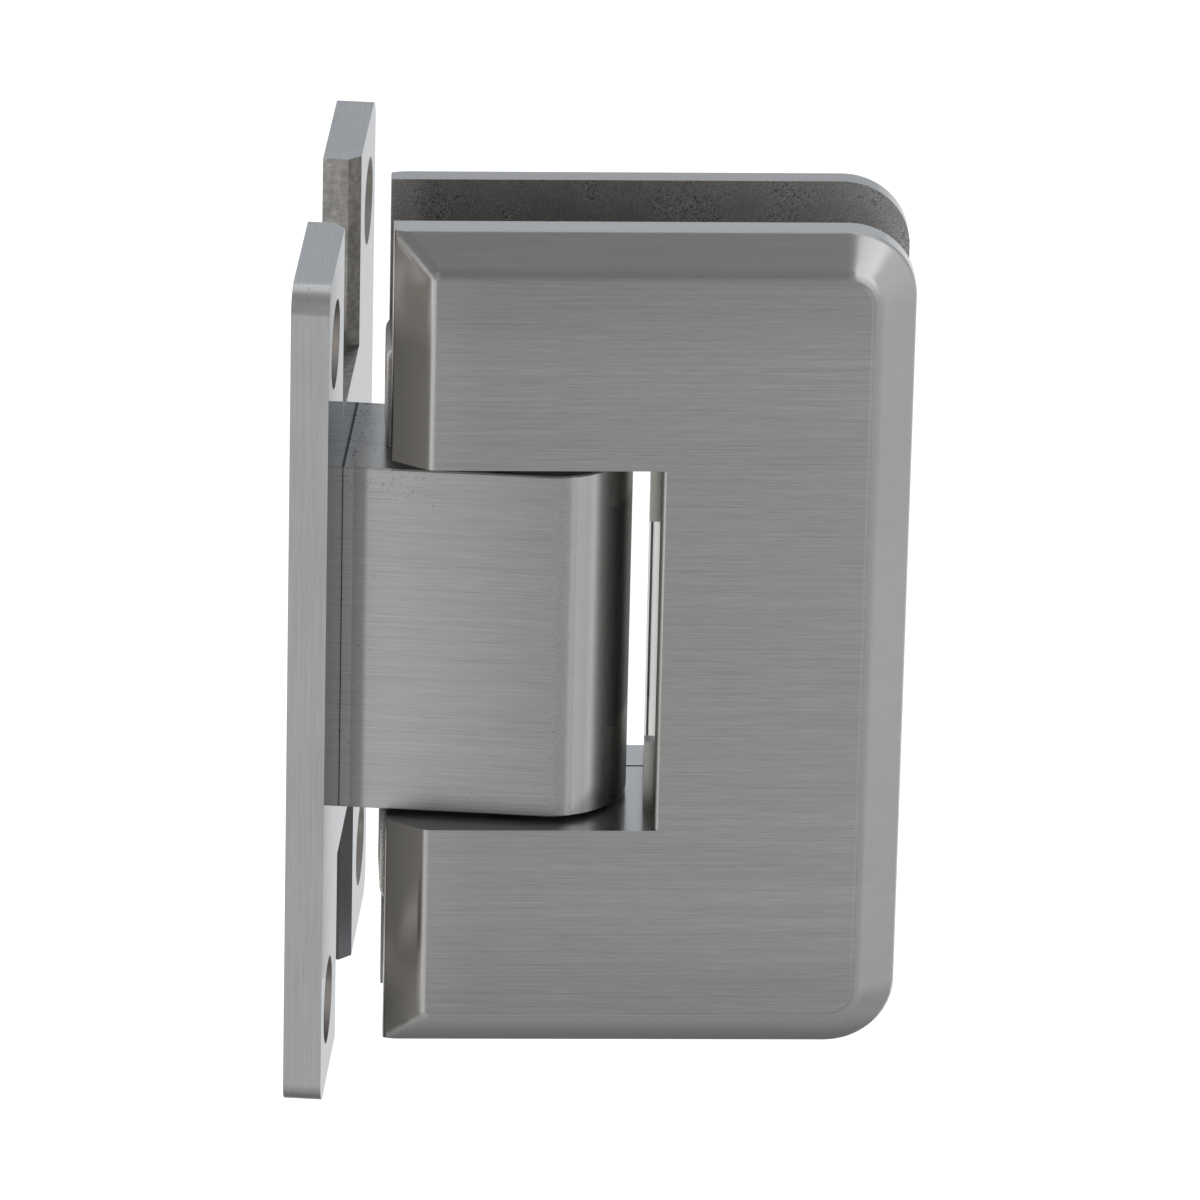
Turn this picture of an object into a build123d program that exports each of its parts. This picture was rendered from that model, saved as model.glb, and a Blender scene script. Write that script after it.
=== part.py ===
from build123d import *
import os

# A wall-to-glass shower door hinge, in millimetres.
# X = 0 is the wall face of the wall plate, +X runs away from the wall, +Z is up, -Y is the front.
# The origin is the middle of the plate's wall face, and the pivot axis is vertical.

# Wall plate: an H-shaped plate, with a notch in its top and in its bottom edge
PLATE_HEIGHT = 90.0
PLATE_WIDTH = 50.5
PLATE_THICKNESS = 3.8
PLATE_LEG_WIDTH = 17.25
PLATE_NOTCH_DEPTH = 20.8
PLATE_CORNER_RADIUS = 2.6
PLATE_LEG_CHAMFER = 1.2
WALL_HOLE_FROM_SIDE = 7.25
WALL_HOLE_FROM_END = 8.7
WALL_HOLE_DIAMETER = 5.2
WALL_HOLE_MOUTH = 9.0

# Knuckle: the block on the plate, with a half-round end about the pivot axis.
# It sits a little below the middle, and its upper washer is thicker than the lower one by as much.
PIVOT_FROM_WALL = 24.4
KNUCKLE_DEPTH = 16.0
KNUCKLE_HEIGHT = 37.9
KNUCKLE_DROP = 0.5
KNUCKLE_EDGE = 0.15
PIN_ROOM = 0.5
KNUCKLE_SCREW_FROM_END = 5.25
KNUCKLE_SCREW_LENGTH = 12.0

# Pivot pin, its bushes and washers
PIN_DIAMETER = 8.0
PIN_ACROSS_FLATS = 6.4
PIN_END_CHAMFER = 0.6
PIN_SHORT_OF_LUG = 1.5
BUSH_WALL = 1.5
BUSH_LENGTH = 8.0
WASHER_THICKNESS = 0.95
WASHER_DIAMETER = 12.4

# Detent: a shoe that two springs press against the flats of the pin
SHOE_HEIGHT = 16.0
SHOE_WIDTH = 8.0
SHOE_THICKNESS = 6.0
SHOE_EDGE = 0.5
SPRING_DIAMETER = 6.0
SPRING_WIRE_WIDE = 1.0
SPRING_WIRE_THICK = 0.8
SPRING_TURNS = 5
SPRING_SPACING = 8.0
SPRING_POCKET_DEPTH = 3.0
SPRING_ROOM = 0.3

# Door clamp: two bevelled covers with a notch for the knuckle
COVER_HEIGHT = 90.2
COVER_WIDTH = 52.1
COVER_TAIL = 16.6
COVER_EDGE = 2.25
BEVEL_DEPTH = 2.5
BEVEL_WIDTH = 3.9
COVER_CORNER_RADIUS = 7.0
FACE_EDGE_RADIUS = 2.4
RIM_EDGE_RADIUS = 0.5
KNUCKLE_END_GAP = 2.4
BACK_KNUCKLE_END_GAP = 2.2
NOTCH_EDGE_RADIUS = 0.6
GLASS_THICKNESS = 8.0
GASKET_THICKNESS = 1.2
GASKET_INSET = 6.0
GASKET_MARGIN = 1.0
GASKET_CORNER_RADIUS = 2.0

# Pivot lugs and the web between them, cast with the front cover
LUG_HEIGHT = 11.0
LUG_OVERHANG = 0.45
LUG_BACK_GAP = 0.3
LUG_END_RADIUS = 1.5
WEB_WIDTH = 5.0
WEB_TAB_REACH = 0.85
WEB_TAB_HEIGHT = 7.7
WEB_TAB_THICKNESS = 1.5
CLAMP_SCREW_FROM_BLOCK_END = 4.9
CLAMP_SCREW_FROM_NOTCH = 6.25
CLAMP_SCREW_TIP_LAND = 1.1

# Screws
SCREW_DIAMETER = 5.0
SCREW_HEAD_DIAMETER = 9.6
SCREW_SOCKET = 3.0
SCREW_SOCKET_DEPTH = 2.0
SCREW_RECESS = 0.2
GRUB_DIAMETER = 3.0
GRUB_LENGTH = 6.0
GRUB_SOCKET = 1.5
GRUB_SOCKET_DEPTH = 1.5
GRUB_FROM_NOTCH = 7.0

# Fits
RUNNING_CLEARANCE = 0.05
SEAT_CLEARANCE = 0.02
THRUST_CLEARANCE = 0.1
SHOE_CLEARANCE = 0.1

# The door stands this far from its closed position, its free edge turned away from the front
DOOR_ANGLE = 6.2

# Sizes that follow from the ones above
PIN_RADIUS = PIN_DIAMETER / 2
BUSH_BORE = PIN_DIAMETER + 2 * RUNNING_CLEARANCE
BUSH_DIAMETER = BUSH_BORE + 2 * BUSH_WALL
KNUCKLE_TOP = KNUCKLE_HEIGHT / 2 - KNUCKLE_DROP
KNUCKLE_BOTTOM = KNUCKLE_TOP - KNUCKLE_HEIGHT
UPPER_WASHER_THICKNESS = WASHER_THICKNESS + KNUCKLE_DROP
LOWER_WASHER_THICKNESS = WASHER_THICKNESS - KNUCKLE_DROP
NOTCH_HALF = KNUCKLE_TOP + UPPER_WASHER_THICKNESS + THRUST_CLEARANCE
NOTCH_WALL = KNUCKLE_DEPTH / 2 + KNUCKLE_END_GAP
BACK_NOTCH_WALL = KNUCKLE_DEPTH / 2 + BACK_KNUCKLE_END_GAP
GLASS_GAP = GLASS_THICKNESS + 2 * GASKET_THICKNESS
COVER_THICKNESS = COVER_EDGE + BEVEL_DEPTH
LUG_TOP = NOTCH_HALF + LUG_HEIGHT
CLAMP_SCREW_Z = NOTCH_HALF + CLAMP_SCREW_FROM_NOTCH
GRUB_Z = NOTCH_HALF + GRUB_FROM_NOTCH
LUG_END = COVER_TAIL + LUG_OVERHANG
BLOCK_END = NOTCH_WALL + WEB_WIDTH
CLAMP_SCREW_X = BLOCK_END - CLAMP_SCREW_FROM_BLOCK_END
SHOE_FACE_X = PIVOT_FROM_WALL - PIN_RADIUS - SHOE_CLEARANCE
SHOE_BACK_X = SHOE_FACE_X - SHOE_THICKNESS
BOTTOM = (Align.CENTER, Align.CENTER, Align.MIN)
TOP = (Align.CENTER, Align.CENTER, Align.MAX)

ALONG_X = Plane(origin=(0, 0, 0), x_dir=(0, 1, 0), z_dir=(1, 0, 0))


def upright(y):
    """A drawing plane that faces the front, at depth y: its x is X and its y is Z."""
    return Plane(origin=(0, y, 0), x_dir=(1, 0, 0), z_dir=(0, -1, 0))


def on_door(piece):
    """Places a piece drawn about the pivot on the door, at the door's angle."""
    return Pos(PIVOT_FROM_WALL, 0, 0) * Rot(0, 0, DOOR_ANGLE) * piece


def rect_between(x_low, x_high, z_low, z_high):
    """A rectangle between two opposite corners."""
    middle = Pos((x_low + x_high) / 2, (z_low + z_high) / 2)
    return middle * Rectangle(x_high - x_low, z_high - z_low)


def countersink(mouth, diameter, depth):
    """The room for a countersunk screw: its mouth is at z = 0 and it goes down."""
    cone_depth = (mouth - diameter) / 2
    cone = Cone(diameter / 2, mouth / 2, cone_depth, align=TOP)
    return cone + Cylinder(diameter / 2, depth, align=TOP)


def countersunk_screw(length):
    """A countersunk socket screw: its head's face is at z = 0 and it points down."""
    screw = countersink(SCREW_HEAD_DIAMETER, SCREW_DIAMETER, length)
    socket = extrude(RegularPolygon(SCREW_SOCKET / 2, 6, major_radius=False), -SCREW_SOCKET_DEPTH)
    tip = screw.edges().sort_by(Axis.Z)[0]
    return chamfer(tip, SCREW_DIAMETER / 10) - socket


def screw_hole(length):
    """The hole that such a screw seats in, with the recess above its head."""
    wide = SCREW_HEAD_DIAMETER + 2 * SEAT_CLEARANCE
    hole = countersink(wide, SCREW_DIAMETER + 2 * SEAT_CLEARANCE, length + SEAT_CLEARANCE)
    return hole + Cylinder(wide / 2, SCREW_RECESS, align=BOTTOM)


# Wall plate: the H outline, the chamfered inner edges of its legs, and its screw holes
notch_width = PLATE_WIDTH - 2 * PLATE_LEG_WIDTH
notch_floor = PLATE_HEIGHT / 2 - PLATE_NOTCH_DEPTH
plate_outline = RectangleRounded(PLATE_WIDTH, PLATE_HEIGHT, PLATE_CORNER_RADIUS)
for side in (-1, 1):
    middle = side * (notch_floor + PLATE_HEIGHT / 2 + PLATE_CORNER_RADIUS) / 2
    plate_outline -= Pos(0, middle) * Rectangle(notch_width, PLATE_NOTCH_DEPTH + PLATE_CORNER_RADIUS)
wall_plate = extrude(ALONG_X * plate_outline, PLATE_THICKNESS)
leg_edges = []
for edge in wall_plate.edges().filter_by(Axis.Z):
    centre = edge.center()
    beside_notch = abs(abs(centre.Y) - notch_width / 2) < 0.01
    if beside_notch and centre.X > PLATE_THICKNESS / 2:
        leg_edges.append(edge)
wall_plate = chamfer(leg_edges, PLATE_LEG_CHAMFER)
wall_hole_y = PLATE_WIDTH / 2 - WALL_HOLE_FROM_SIDE
wall_hole_z = PLATE_HEIGHT / 2 - WALL_HOLE_FROM_END
wall_hole = Rot(0, 90, 0) * countersink(WALL_HOLE_MOUTH, WALL_HOLE_DIAMETER, PLATE_THICKNESS)
for y in (-wall_hole_y, wall_hole_y):
    for z in (-wall_hole_z, wall_hole_z):
        wall_plate -= Pos(PLATE_THICKNESS, y, z) * wall_hole

# Knuckle: half-round about the pivot, bored for the pin and bushes, milled out for the shoe
block_length = PIVOT_FROM_WALL - PLATE_THICKNESS
knuckle_plan = Pos(PLATE_THICKNESS + block_length / 2, 0) * Rectangle(block_length, KNUCKLE_DEPTH)
knuckle_plan += Pos(PIVOT_FROM_WALL, 0) * Circle(KNUCKLE_DEPTH / 2)
knuckle = Pos(0, 0, KNUCKLE_BOTTOM) * extrude(knuckle_plan, KNUCKLE_HEIGHT)
rims = []
for edge in knuckle.faces().filter_by(Axis.Z).edges():
    if edge.center().X > PLATE_THICKNESS + KNUCKLE_EDGE:
        rims.append(edge)
knuckle = chamfer(rims, KNUCKLE_EDGE)
pin_axis = Pos(PIVOT_FROM_WALL, 0, 0)
knuckle -= pin_axis * Cylinder(PIN_RADIUS + PIN_ROOM, 2 * KNUCKLE_HEIGHT)
bush_seat = Cylinder(BUSH_DIAMETER / 2 + SEAT_CLEARANCE, BUSH_LENGTH, align=TOP)
knuckle -= pin_axis * Pos(0, 0, KNUCKLE_TOP) * bush_seat
knuckle -= pin_axis * Pos(0, 0, KNUCKLE_BOTTOM + BUSH_LENGTH) * bush_seat
shoe_slot_outline = SlotOverall(SHOE_HEIGHT, SHOE_WIDTH, rotation=90)
knuckle -= Pos(PLATE_THICKNESS, 0, 0) * extrude(ALONG_X * shoe_slot_outline, block_length)

# Knuckle screws: two, from the wall side of the plate
head_on_wall = Pos(SCREW_RECESS, 0, 0) * Rot(0, -90, 0)
knuckle_screws = []
for z in (KNUCKLE_BOTTOM + KNUCKLE_SCREW_FROM_END, KNUCKLE_TOP - KNUCKLE_SCREW_FROM_END):
    place = Pos(0, 0, z) * head_on_wall
    knuckle_screws.append(place * countersunk_screw(KNUCKLE_SCREW_LENGTH))
    wall_plate -= place * screw_hole(KNUCKLE_SCREW_LENGTH)
    knuckle -= place * screw_hole(KNUCKLE_SCREW_LENGTH)

# Bushes: one flush with each end of the knuckle
bush = Cylinder(BUSH_DIAMETER / 2, BUSH_LENGTH, align=TOP)
bush -= Cylinder(BUSH_BORE / 2, BUSH_LENGTH, align=TOP)
upper_bush = pin_axis * Pos(0, 0, KNUCKLE_TOP) * bush
lower_bush = pin_axis * Pos(0, 0, KNUCKLE_BOTTOM + BUSH_LENGTH) * bush

# Thrust washers: the upper one carries the door on the knuckle, the lower one lies on the lower lug
washer_ring = Circle(WASHER_DIAMETER / 2) - Circle(BUSH_BORE / 2)
upper_thrust_washer = pin_axis * Pos(0, 0, KNUCKLE_TOP) * extrude(washer_ring, UPPER_WASHER_THICKNESS)
lower_thrust_washer = on_door(Pos(0, 0, -NOTCH_HALF) * extrude(washer_ring, LOWER_WASHER_THICKNESS))

# Detent shoe: a flat-faced bar that fits the milled slot, with a pocket for each spring
shoe_outline = SlotOverall(SHOE_HEIGHT - 2 * RUNNING_CLEARANCE, SHOE_WIDTH - 2 * RUNNING_CLEARANCE, rotation=90)
detent_shoe = Pos(SHOE_BACK_X, 0, 0) * extrude(ALONG_X * shoe_outline, SHOE_THICKNESS)
detent_shoe = chamfer(detent_shoe.faces().sort_by(Axis.X)[-1].edges(), SHOE_EDGE)
spring_pocket = Cylinder(SPRING_DIAMETER / 2 + SPRING_ROOM, SPRING_POCKET_DEPTH, align=BOTTOM)
for z in (-SPRING_SPACING / 2, SPRING_SPACING / 2):
    detent_shoe -= Pos(SHOE_BACK_X, 0, z) * Rot(0, 90, 0) * spring_pocket

# Springs: each is a die spring of flat wire, from the plate to the floor of its pocket in the shoe
spring_start = PLATE_THICKNESS + SPRING_WIRE_THICK / 2 + SPRING_ROOM
spring_stop = SHOE_BACK_X + SPRING_POCKET_DEPTH - SPRING_WIRE_THICK / 2 - SPRING_ROOM
spring_height = spring_stop - spring_start
coil_radius = (SPRING_DIAMETER - SPRING_WIRE_WIDE) / 2
coil_path = Helix(spring_height / SPRING_TURNS, spring_height, coil_radius)
wire_plane = Plane(origin=coil_path @ 0, x_dir=(1, 0, 0), z_dir=coil_path % 0)
wire_section = wire_plane * Rectangle(SPRING_WIRE_WIDE, SPRING_WIRE_THICK)
spring = sweep(wire_section, path=coil_path, is_frenet=True)
lay_along_x = Pos(spring_start, 0, 0) * Rot(0, 90, 0)
upper_spring = Pos(0, 0, SPRING_SPACING / 2) * lay_along_x * spring
lower_spring = Pos(0, 0, -SPRING_SPACING / 2) * lay_along_x * spring


def cover_outline(inset):
    """The cover's outline drawn in by inset: square corners at the wall end, round ones at the free end."""
    half = COVER_HEIGHT / 2 - inset
    free_end = COVER_WIDTH - COVER_TAIL - inset
    outline = rect_between(inset - COVER_TAIL, free_end, -half, half)
    corners = outline.vertices().sort_by(Axis.X)[2:]
    return fillet(corners, COVER_CORNER_RADIUS - inset)


def knuckle_notch(wall):
    """The room in a cover for the knuckle, open at the wall end, with the wall's outer edge rounded."""
    outline = rect_between(-2 * COVER_TAIL, wall, -NOTCH_HALF, NOTCH_HALF)
    notch = extrude(upright(0) * outline, COVER_THICKNESS + GLASS_GAP, both=True)
    face = GLASS_GAP / 2 + COVER_THICKNESS
    radius = NOTCH_EDGE_RADIUS
    for side in (-1, 1):
        corner = Pos(wall + radius / 2, side * (face - radius / 2)) * Rectangle(radius, radius)
        corner -= Pos(wall + radius, side * (face - radius)) * Circle(radius)
        notch += Pos(0, 0, -NOTCH_HALF) * extrude(corner, 2 * NOTCH_HALF)
    return notch


def bevelled_cover():
    """The front cover's plate: a straight edge, then a broad bevel with softened edges."""
    glass_side = -GLASS_GAP / 2
    bevel_start = glass_side - COVER_EDGE
    face = bevel_start - BEVEL_DEPTH
    cover = extrude(upright(glass_side) * cover_outline(0), COVER_EDGE)
    rim = upright(bevel_start) * cover_outline(0)
    flat = upright(face) * cover_outline(BEVEL_WIDTH)
    cover += loft([rim, flat], ruled=True)
    soft_edges = cover.faces().sort_by(Axis.Y)[0].edges()
    for edge in cover.edges():
        depths = [vertex.Y for vertex in edge.vertices()]
        crosses_bevel = abs(min(depths) - face) < 0.01 and abs(max(depths) - bevel_start) < 0.01
        if crosses_bevel and edge.center().X < 0:
            soft_edges.append(edge)
    cover = fillet(soft_edges, FACE_EDGE_RADIUS)
    rim_edges = []
    for edge in cover.edges():
        if all(abs(vertex.Y - bevel_start) < 0.05 for vertex in edge.vertices()):
            rim_edges.append(edge)
    return fillet(rim_edges, RIM_EDGE_RADIUS)


# Front cover: the bevelled plate, with the pivot lugs and the web between them cast on its glass side
cover_plate = bevelled_cover()
front_cover = cover_plate - knuckle_notch(NOTCH_WALL)
lug_block_outline = rect_between(-LUG_END, BLOCK_END, -LUG_TOP, LUG_TOP)
lug_block_outline = fillet(lug_block_outline.vertices(), LUG_END_RADIUS)
lug_block_outline -= rect_between(-2 * LUG_END, NOTCH_WALL, -NOTCH_HALF, NOTCH_HALF)
lug_block = extrude(upright(GLASS_GAP / 2 - LUG_BACK_GAP) * lug_block_outline, GLASS_GAP - LUG_BACK_GAP)
end_edges = []
for edge in lug_block.edges().filter_by(Axis.Z):
    if edge.center().X < -COVER_TAIL:
        end_edges.append(edge)
lug_block = fillet(end_edges, LUG_END_RADIUS)
front_cover += lug_block
tab_start = NOTCH_HALF - WEB_TAB_HEIGHT
tab_outline = rect_between(NOTCH_WALL - WEB_TAB_REACH, NOTCH_WALL, tab_start, NOTCH_HALF)
web_tab = extrude(upright(WEB_TAB_THICKNESS - GLASS_GAP / 2) * tab_outline, WEB_TAB_THICKNESS)
front_cover += web_tab
front_cover += mirror(web_tab, Plane.XY)
front_cover -= Cylinder(PIN_RADIUS + SEAT_CLEARANCE, 2 * LUG_TOP)

# Back cover: the same bevelled plate, facing the other way
back_cover = mirror(cover_plate, Plane.XZ) - knuckle_notch(BACK_NOTCH_WALL)

# Clamp screws: one in each lug, from the back cover
back_face = GLASS_GAP / 2 + COVER_THICKNESS
clamp_screw_length = back_face - SCREW_RECESS + GLASS_GAP / 2 - CLAMP_SCREW_TIP_LAND
clamp_screws = []
for z in (-CLAMP_SCREW_Z, CLAMP_SCREW_Z):
    place = Pos(CLAMP_SCREW_X, back_face - SCREW_RECESS, z) * Rot(-90, 0, 0)
    clamp_screws.append(on_door(place * countersunk_screw(clamp_screw_length)))
    back_cover -= place * screw_hole(clamp_screw_length)
    front_cover -= place * screw_hole(clamp_screw_length)

# Grub screws: one from the wall end of each lug, locking the pin
grub = Cylinder(GRUB_DIAMETER / 2, GRUB_LENGTH, align=TOP)
grub = chamfer(grub.edges().sort_by(Axis.Z)[0], GRUB_DIAMETER / 10)
grub -= extrude(RegularPolygon(GRUB_SOCKET / 2, 6, major_radius=False), -GRUB_SOCKET_DEPTH)
grub_hole = Cylinder(GRUB_DIAMETER / 2 + SEAT_CLEARANCE, LUG_END, align=BOTTOM)
grub_top = PIN_RADIUS + SEAT_CLEARANCE + GRUB_LENGTH
pin_grub_screws = []
for z in (-GRUB_Z, GRUB_Z):
    towards_wall = Pos(0, 0, z) * Rot(0, -90, 0)
    pin_grub_screws.append(on_door(towards_wall * Pos(0, 0, grub_top) * grub))
    front_cover -= towards_wall * grub_hole

# Pivot pin: fixed in the lugs, with four flats where the shoe presses on it
pin_length = 2 * (LUG_TOP - PIN_SHORT_OF_LUG)
pivot_pin = Cylinder(PIN_RADIUS, pin_length)
pivot_pin = chamfer(pivot_pin.edges().filter_by(GeomType.CIRCLE), PIN_END_CHAMFER)
flat_half_height = SHOE_HEIGHT / 2 + PIN_ROOM
flat_cut = Box(PIN_DIAMETER, PIN_DIAMETER, 2 * flat_half_height, align=(Align.MIN, Align.CENTER, Align.CENTER))
for quarter in range(4):
    pivot_pin -= Rot(0, 0, 90 * quarter) * Pos(PIN_ACROSS_FLATS / 2, 0, 0) * flat_cut

# Gaskets: a C-shaped sheet on the glass side of each cover, clear of the lugs
gasket_half = COVER_HEIGHT / 2 - GASKET_INSET
gasket_free_end = COVER_WIDTH - COVER_TAIL - GASKET_INSET
gasket_outline = rect_between(GASKET_INSET - COVER_TAIL, gasket_free_end, -gasket_half, gasket_half)
gasket_outline = fillet(gasket_outline.vertices(), GASKET_CORNER_RADIUS)
clear_of_lugs = LUG_TOP + GASKET_MARGIN
gasket_outline -= rect_between(-2 * COVER_TAIL, BLOCK_END + GASKET_MARGIN, -clear_of_lugs, clear_of_lugs)
front_gasket = extrude(upright(-GLASS_THICKNESS / 2) * gasket_outline, GASKET_THICKNESS)
back_gasket = mirror(front_gasket, Plane.XZ)

# One file for each piece
pieces = {
    "wall_plate": wall_plate,
    "knuckle": knuckle,
    "knuckle_screws": Compound(children=knuckle_screws),
    "upper_bush": upper_bush,
    "lower_bush": lower_bush,
    "upper_thrust_washer": upper_thrust_washer,
    "lower_thrust_washer": lower_thrust_washer,
    "detent_shoe": detent_shoe,
    "upper_spring": upper_spring,
    "lower_spring": lower_spring,
    "front_cover": on_door(front_cover),
    "back_cover": on_door(back_cover),
    "front_gasket": on_door(front_gasket),
    "back_gasket": on_door(back_gasket),
    "clamp_screws": Compound(children=clamp_screws),
    "pin_grub_screws": Compound(children=pin_grub_screws),
    "pivot_pin": on_door(pivot_pin),
}
os.makedirs("parts", exist_ok=True)
for name, piece in pieces.items():
    export_step(piece, f"parts/{name}.step")
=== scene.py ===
import math

import bpy
from mathutils import Matrix, Vector


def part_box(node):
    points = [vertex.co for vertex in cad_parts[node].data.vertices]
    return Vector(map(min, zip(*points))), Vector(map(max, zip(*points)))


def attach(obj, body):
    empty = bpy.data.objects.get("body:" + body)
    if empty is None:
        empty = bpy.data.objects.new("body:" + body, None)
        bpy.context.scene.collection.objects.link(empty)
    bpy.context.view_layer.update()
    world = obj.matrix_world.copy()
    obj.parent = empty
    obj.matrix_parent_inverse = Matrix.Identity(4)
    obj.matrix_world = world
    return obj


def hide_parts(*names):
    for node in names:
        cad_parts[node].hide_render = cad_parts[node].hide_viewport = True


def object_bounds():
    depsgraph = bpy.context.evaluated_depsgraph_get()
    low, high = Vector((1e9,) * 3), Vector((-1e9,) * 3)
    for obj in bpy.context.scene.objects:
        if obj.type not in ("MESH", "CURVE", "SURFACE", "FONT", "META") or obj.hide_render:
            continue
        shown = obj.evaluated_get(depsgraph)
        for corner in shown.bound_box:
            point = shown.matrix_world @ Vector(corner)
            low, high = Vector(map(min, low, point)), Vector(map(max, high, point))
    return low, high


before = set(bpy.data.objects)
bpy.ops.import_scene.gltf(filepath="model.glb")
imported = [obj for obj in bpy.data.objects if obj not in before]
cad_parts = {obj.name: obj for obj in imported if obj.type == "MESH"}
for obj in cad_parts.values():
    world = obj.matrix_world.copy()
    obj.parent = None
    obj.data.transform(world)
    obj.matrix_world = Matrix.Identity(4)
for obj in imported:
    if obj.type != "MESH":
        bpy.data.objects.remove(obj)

cad_low, cad_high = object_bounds()
scene = bpy.context.scene


# Wall plate
# A flat steel plate, sawn to an H and ground, that four countersunk screws hold to the wall. Its outer
# edges are ground lengthwise, its face is nearly polished, and the milled notches are left rough.
MILLIMETRE = 0.001
STEEL = (0.43, 0.43, 0.427)
DULL_STEEL = (0.4, 0.388, 0.37)
# Painted shade for the lower notch, which lies in the shade under the knuckle
LOWER_NOTCH_PAINTED_SHADE = (0.12, 0.122, 0.13)
TURNED_STEEL = (0.26, 0.24, 0.225)
WALL_HOLE_Y = 18 * MILLIMETRE
WALL_HOLE_Z = 36.3 * MILLIMETRE
WALL_HOLE_MOUTH = 4.5 * MILLIMETRE
PLATE_NOTCH_HALF = 8 * MILLIMETRE
FACE_ROUGHNESS = 0.1
CORNER_ROUGHNESS = 0.5
MILLED_ROUGHNESS = 0.45
HOLE_ROUGHNESS = 0.35
RELIEF_DEPTH = 0.02 * MILLIMETRE


def put(tree, kind, inputs=None, **settings):
    """Adds a node. An input that is given an output is linked, and any other is set."""
    made = tree.nodes.new(kind)
    for name, value in settings.items():
        setattr(made, name, value)
    for key, value in (inputs or {}).items():
        if isinstance(value, bpy.types.NodeSocket):
            tree.links.new(value, made.inputs[key])
        else:
            made.inputs[key].default_value = value
    return made


def new_finish(name, metallic, **sockets):
    """A material, its tree and shader, and the outputs for a point on the piece and for its normal."""
    material = bpy.data.materials.new(name)
    material.use_nodes = True
    tree = material.node_tree
    shader = tree.nodes["Principled BSDF"]
    shader.inputs["Metallic"].default_value = metallic
    for socket, value in sockets.items():
        shader.inputs[socket.replace("_", " ")].default_value = value
    place = put(tree, "ShaderNodeTexCoord")
    return material, tree, shader, place.outputs["Object"], place.outputs["Normal"]


def sums(tree, operation, first, second=0.0, third=0.0):
    """One step of arithmetic on up to three values."""
    step = put(tree, "ShaderNodeMath", {0: first, 1: second, 2: third}, operation=operation)
    return step.outputs[0]


def scaled(tree, value, gain, start):
    """The value times a gain, on top of a start."""
    return sums(tree, "MULTIPLY_ADD", value, gain, start)


def rest(tree, value):
    """What is left of 1 without the value."""
    return sums(tree, "SUBTRACT", 1.0, value)


def product(tree, *values):
    """The product of several values."""
    total = values[0]
    for value in values[1:]:
        total = sums(tree, "MULTIPLY", total, value)
    return total


def lit(tree, bright, where, share):
    """Lightens by that share where the mask is 1, or darkens by it if it is below 0."""
    return product(tree, bright, scaled(tree, where, share, 1.0))


def vectors(tree, operation, first, second):
    """One step of arithmetic on two vectors."""
    return put(tree, "ShaderNodeVectorMath", {0: first, 1: second}, operation=operation).outputs[0]


def ramp(tree, value, low, high):
    """0 below low, 1 above high, and smooth between them. A low above high turns it round."""
    step = put(
        tree,
        "ShaderNodeMapRange",
        {"Value": value, "From Min": low, "From Max": high},
        interpolation_type="SMOOTHSTEP",
    )
    return step.outputs[0]


def band(tree, value, start, full, fading, end):
    """1 from full to fading, 0 before the start and after the end, and smooth between them."""
    return product(tree, ramp(tree, value, start, full), ramp(tree, value, end, fading))


def blend(tree, factor, first, second):
    """Goes from the first number to the second as the factor goes from 0 to 1."""
    step = put(tree, "ShaderNodeMix", {0: factor, 2: first, 3: second}, data_type="FLOAT")
    return step.outputs[0]


def tint(tree, factor, first, second):
    """Goes from the first colour to the second as the factor goes from 0 to 1."""
    step = put(tree, "ShaderNodeMix", {0: factor, 6: first, 7: second}, data_type="RGBA")
    return step.outputs[2]


def streaks(tree, point, grain, length, width):
    """Brushing marks along one axis, from 0 to 1: about so long, and so wide across the grain."""
    scale = [1 / width] * 3
    scale["XYZ".index(grain)] = 1 / length
    drawn_out = put(tree, "ShaderNodeMapping", {"Vector": point, "Scale": scale})
    marks = put(
        tree,
        "ShaderNodeTexNoise",
        {"Vector": drawn_out.outputs[0], "Scale": 1.0, "Detail": 4.0, "Roughness": 0.68},
    )
    return marks.outputs["Fac"]


def speckle(tree, point, size, detail=2.0):
    """Cloudy marks of about that size, from 0 to 1."""
    marks = put(
        tree,
        "ShaderNodeTexNoise",
        {"Vector": point, "Scale": 1 / size, "Detail": detail, "Roughness": 0.55},
    )
    return marks.outputs["Fac"]


def turning_marks(tree, along, pitch):
    """Rings that a lathe or a grinder leaves along an axis, from 0 to 1."""
    turns = sums(tree, "DIVIDE", along, pitch)
    marks = put(tree, "ShaderNodeTexNoise", {"W": turns, "Detail": 2.0}, noise_dimensions="1D")
    return marks.outputs["Fac"]


def axes(tree, vector):
    """The X, Y and Z outputs of a vector."""
    parts = put(tree, "ShaderNodeSeparateXYZ", {0: vector})
    return parts.outputs[0], parts.outputs[1], parts.outputs[2]


def shaded(tree, colour, amount):
    """A colour times a number."""
    step = put(tree, "ShaderNodeVectorMath", {0: colour, 3: amount}, operation="SCALE")
    return step.outputs[0]


def dress(finish, *nodes):
    """Gives CAD nodes their finish."""
    for node in nodes:
        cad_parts[node].material_slots[0].material = finish


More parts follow.
